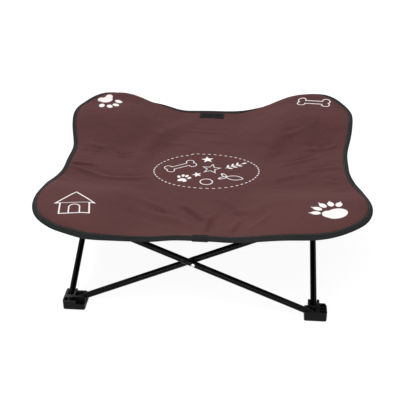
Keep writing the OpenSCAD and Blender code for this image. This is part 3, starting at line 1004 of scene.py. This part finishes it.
class COT_OT_edge_tape(bpy.types.Operator):
    """Fold the tape over the edge, wrap its joint and sew it down"""

    bl_idname = "cot.edge_tape"
    bl_label = "Edge tape"

    def execute(self, context):
        s = sizes()
        for half in HALVES:
            angles = half_angles(half, TAPE_STEPS)
            tape = folded_strip(f"edge_tape_strip_{half}", angles, 0.0, s.tape, s.layer_gap, s.tape_width)
            dressed(tape, tape_finish(), "tape_cloth", f"edge_tape_{half}")
            seam = edge_point(angles, s.tape_width - TAPE_SEAM)
            up = cloth_normals(seam)
            top = s.cloth / 2 + s.layer_gap + s.tape
            rows = [(lifted(seam, side * top), up) for side in (1, -1)]
            dressed(stitched(f"tape_stitches_{half}", rows), thread_finish(), "tape_cloth")
        side = PLANE_REACH + s.side_over
        ends = [-math.pi / 2 + math.asin(x / side) for x in (JOIN_LOW[0], JOIN_HIGH[0])]
        out = -s.layer_gap - s.tape
        gap, width = 2 * s.layer_gap + s.tape, s.tape_width - out
        wrap = folded_strip("tape_wrap", np.linspace(*ends, WRAP_STEPS), out, s.tape, gap, width)
        dressed(wrap, wrap_finish(), "tape_cloth", "tape_join")
        return {"FINISHED"}


class COT_OT_corner_pockets(bpy.types.Operator):
    """Sew a pocket round the outer corner of each top block"""

    bl_idname = "cot.corner_pockets"
    bl_label = "Corner pockets"

    def execute(self, context):
        s = sizes()
        face = -BLOCK_OUT - s.pocket_gap
        bend = face + s.pocket_round
        run = np.linspace(-POCKET_END, bend, POCKET_ALONG)
        turn = np.linspace(-math.pi / 2, -math.pi, POCKET_ROUND)[1:-1]
        path = [((x, face), (0, -1)) for x in run]
        for way in zip(np.cos(turn), np.sin(turn)):
            path.append(((bend + s.pocket_round * way[0], bend + s.pocket_round * way[1]), way))
        path += [((face, y), (-1, 0)) for y in run[::-1]]
        places = np.array([place for place, _ in path])
        outward = np.array([way for _, way in path])
        lengths = path_lengths(places)
        hem_at = POCKET_LOW + s.hem
        roll = np.linspace(HEM_START, -math.pi, HEM_STEPS)
        hem = [(max(s.pocket - s.hem + s.hem * math.cos(t), 0.0), hem_at + s.hem * math.sin(t)) for t in roll]
        wall = [(s.pocket, z) for z in np.linspace(BLOCK_TOP, hem_at + 2 * s.hem, POCKET_UP)]
        section = wall + hem + [(0.0, BLOCK_TOP)]
        soft = RIPPLE * np.sin(lengths / RIPPLE_LENGTH) * np.sin(lengths / lengths[-1] * math.pi)

        def ring(off, z):
            return np.column_stack([places + outward * np.reshape(off, (-1, 1)), np.full(len(places), z)])

        rings = [ring(o + soft * (o > 0) * min(1.0, (BLOCK_TOP - z) / RIPPLE_DEPTH), z) for o, z in section]
        sections = np.stack(rings, 1)[:, ::-1]
        seam = [ring(s.pocket, z) for z in (hem_at + HEM_SEAM, BLOCK_TOP - TOP_SEAM)]
        ways = np.column_stack([outward, np.zeros(len(outward))])
        for number, corner in enumerate(CORNERS):
            turned = np.array(Matrix.Rotation(number * math.pi / 2, 3, "Z"))
            piece = sweep_piece(f"pocket_cloth_{corner}", sections @ turned.T, lengths)
            dressed(piece, pocket_finish(), "pocket_cloth", f"corner_pocket_{corner}")
            rows = [(row[1:-1] @ turned.T, ways[1:-1] @ turned.T) for row in seam]
            sewn = dressed(stitched(f"pocket_stitches_{corner}", rows), thread_finish(), "pocket_cloth")
            for part in (piece, sewn):
                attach(part, f"top_{corner}")
        return {"FINISHED"}


class COT_OT_label(bpy.types.Operator):
    """Lay the bare woven label on the back edge, in two halves that meet at the crease"""

    bl_idname = "cot.label"
    bl_label = "Label"

    def execute(self, context):
        s = sizes()
        deep = np.linspace(LABEL_LOW[1], LABEL_HIGH[1], LABEL_ALONG)
        low = s.cloth / 2 + s.layer_gap
        for half in HALVES:
            ends = (LABEL_LOW[0], 0.0) if half == "left" else (0.0, LABEL_HIGH[0])
            wide = np.linspace(*ends, LABEL_ACROSS)
            plan = np.stack([axis.ravel() for axis in np.meshgrid(wide, deep, indexing="ij")], 1)
            piece = sheet_piece(f"woven_label_{half}", plan, len(wide), len(deep), low, low + s.label)
            dressed(piece, label_finish(), "label_cloth", "label_tab")
            far = LABEL_LOW[0] + LABEL_SEAM if half == "left" else LABEL_HIGH[0] - LABEL_SEAM
            fore, back = deep[0] + LABEL_SEAM, deep[-1] - LABEL_SEAM
            corners = [(0.0, fore), (far, fore), (far, back), (0.0, back)]
            runs = [np.linspace(a, b, LABEL_ROUND)[:-1] for a, b in zip(corners, corners[1:])]
            row = np.concatenate(runs + [[corners[-1]]])
            rows = [(lifted(row, low + s.label), cloth_normals(row))]
            dressed(stitched(f"label_stitches_{half}", rows), thread_finish(), "label_cloth")
        return {"FINISHED"}


class COT_OT_hang_cloth(bpy.types.Operator):
    """Tie the cloth and what is sewn to it to its halves of the frame, each with a mesh of its own"""

    bl_idname = "cot.hang_cloth"
    bl_label = "Hang the cloth"

    def execute(self, context):
        pieces = bpy.data.objects
        for half in HALVES:
            cloth = pieces[f"sling_cloth_{half}"]
            names = ("edge_tape_strip", "tape_stitches", "woven_label", "label_stitches")
            sewn = [pieces[f"{name}_{half}"] for name in names]
            if half == "right":
                sewn.append(pieces["tape_wrap"])
            for piece in [cloth] + sewn:
                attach(piece, f"sling_half_{half}")
                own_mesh(piece)
        return {"FINISHED"}


class COT_OT_frame_finish(bpy.types.Operator):
    """Give the tubes, blocks, pins, rivets and washers their finishes"""

    bl_idname = "cot.frame_finish"
    bl_label = "Frame finishes"

    def execute(self, context):
        wear = {f"{way}_{corner}": block_finish() for way in ("foot", "top_block") for corner in CORNERS}
        wear |= {f"{way}_pins_{corner}": pin_finish() for way in ("foot", "top") for corner in CORNERS}
        wear |= {f"{side}_{layer}_tube": tube_finish() for side in SIDES for layer in ("inner", "outer")}
        wear |= {f"{side}_rivet": rivet_finish() for side in SIDES}
        wear |= {f"{side}_washer": washer_finish() for side in SIDES}
        for node, material in wear.items():
            for slot in frame["nodes"][node].material_slots:
                slot.material = material
        return {"FINISHED"}


class COT_OT_stage(bpy.types.Operator):
    """Lay the floor, light the cot and set the camera"""

    bl_idname = "cot.stage"
    bl_label = "Stage"

    def execute(self, context):
        scene, stage = context.scene, context.scene.cot_stage
        scene.view_settings.view_transform = "Standard"
        self.floor()
        self.sky(scene, stage.sky)
        for name, place, target, size in LAMPS:
            self.lamp(f"{name}_light", place, target, size, getattr(stage, name))
        self.camera(scene, stage)
        return {"FINISHED"}

    def seen(self, tree):
        """1 for rays that see the backdrop itself or its reflection."""
        light = tree.nodes.new("ShaderNodeLightPath")
        last, output = light, "Is Camera Ray"
        for other in ("Is Glossy Ray", "Is Transmission Ray"):
            both = tree.nodes.new("ShaderNodeMath")
            both.operation = "MAXIMUM"
            wire(tree, (last, output, both, 0), (light, other, both, 1))
            last, output = both, 0
        return last.outputs[output]

    def floor(self):
        """A pale floor that the camera sees as white, with the shadow of the cot."""
        mesh = bpy.data.meshes.new("studio_floor")
        ways = ((-1, -1), (1, -1), (1, 1), (-1, 1))
        mesh.from_pydata([(x * FLOOR_HALF, y * FLOOR_HALF, FLOOR_LOW) for x, y in ways], [], [(0, 1, 2, 3)])
        look = Finish("pale_floor", Base_Color=colours().floor, Roughness=0.9, Specular_IOR_Level=0.0)
        glow = look.node("ShaderNodeEmission", {"Color": (1.0, 1.0, 1.0), "Strength": FLOOR_WHITE})
        lit = look.node("ShaderNodeBsdfDiffuse", {"Color": (FLOOR_CATCH,) * 3})
        both = look.node("ShaderNodeAddShader")
        pick = look.node("ShaderNodeMixShader", {"Fac": self.seen(look.tree)})
        out = next(n for n in look.tree.nodes if n.type == "OUTPUT_MATERIAL")
        wire(look.tree, (glow, 0, both, 0), (lit, 0, both, 1), (look.surface, 0, pick, 1), (both, 0, pick, 2))
        wire(look.tree, (pick, 0, out, "Surface"))
        mesh.materials.append(look.material)
        linked("studio_floor", mesh)

    def sky(self, scene, strength):
        """Even light from all sides, white where it is seen."""
        world = bpy.data.worlds.new("studio")
        world.use_nodes = True
        scene.world = world
        tree = world.node_tree
        tree.nodes.clear()
        soft, white = (tree.nodes.new("ShaderNodeBackground") for _ in range(2))
        for light in (soft, white):
            light.inputs["Color"].default_value = (1.0, 1.0, 1.0, 1.0)
        soft.inputs["Strength"].default_value = strength
        pick, out = tree.nodes.new("ShaderNodeMixShader"), tree.nodes.new("ShaderNodeOutputWorld")
        tree.links.new(self.seen(tree), pick.inputs["Fac"])
        wire(tree, (soft, 0, pick, 1), (white, 0, pick, 2), (pick, 0, out, "Surface"))

    def lamp(self, name, place, target, size, power):
        light = bpy.data.lights.new(name, "AREA")
        light.shape = "RECTANGLE"
        light.size, light.size_y = size
        light.energy = power
        lamp = linked(name, light)
        lamp.location = place
        lamp.rotation_euler = (Vector(target) - Vector(place)).to_track_quat("-Z", "Y").to_euler()

    def camera(self, scene, stage):
        lens = bpy.data.cameras.new("camera")
        lens.sensor_width = SENSOR
        lens.lens = stage.lens
        camera = linked("camera", lens)
        flat, high = math.cos(stage.elevation), math.sin(stage.elevation)
        back = Vector((math.sin(stage.azimuth) * flat, -math.cos(stage.azimuth) * flat, high))
        right = (-back).cross(Vector((0, 0, 1))).normalized()
        up = back.cross(right)
        level = Matrix((right, up, back)).transposed()
        turn = level @ Matrix.Rotation(stage.roll, 3, "Z")
        camera.matrix_world = Matrix.Translation(Vector(stage.aim) + back * stage.distance) @ turn.to_4x4()
        scene.camera = camera


OPERATORS = (
    COT_OT_sling,
    COT_OT_edge_tape,
    COT_OT_corner_pockets,
    COT_OT_label,
    COT_OT_hang_cloth,
    COT_OT_frame_finish,
    COT_OT_stage,
)


class COT_PT_panel(bpy.types.Panel):
    """Steps and sizes of the cot"""

    bl_idname = "COT_PT_panel"
    bl_label = "Raised Pet Cot"
    bl_space_type = "VIEW_3D"
    bl_region_type = "UI"
    bl_category = "Cot"

    def draw(self, context):
        for operator in OPERATORS:
            self.layout.operator(operator.bl_idname)
        for group in (context.scene.cot_sizes, context.scene.cot_colours, context.scene.cot_stage):
            box = self.layout.box()
            for name in group.__annotations__:
                box.prop(group, name)


CLASSES = (CotSizes, CotColours, CotStage, *OPERATORS, COT_PT_panel)


def register():
    for cls in CLASSES:
        bpy.utils.register_class(cls)
    bpy.types.Scene.cot_sizes = PointerProperty(type=CotSizes)
    bpy.types.Scene.cot_colours = PointerProperty(type=CotColours)
    bpy.types.Scene.cot_stage = PointerProperty(type=CotStage)


def unregister():
    del bpy.types.Scene.cot_stage
    del bpy.types.Scene.cot_colours
    del bpy.types.Scene.cot_sizes
    for cls in reversed(CLASSES):
        bpy.utils.unregister_class(cls)


def main():
    register()
    bpy.ops.cot.sling()
    bpy.ops.cot.edge_tape()
    bpy.ops.cot.corner_pockets()
    bpy.ops.cot.label()
    bpy.ops.cot.hang_cloth()
    bpy.ops.cot.frame_finish()
    bpy.ops.cot.stage()


if __name__ == "__main__":
    main()
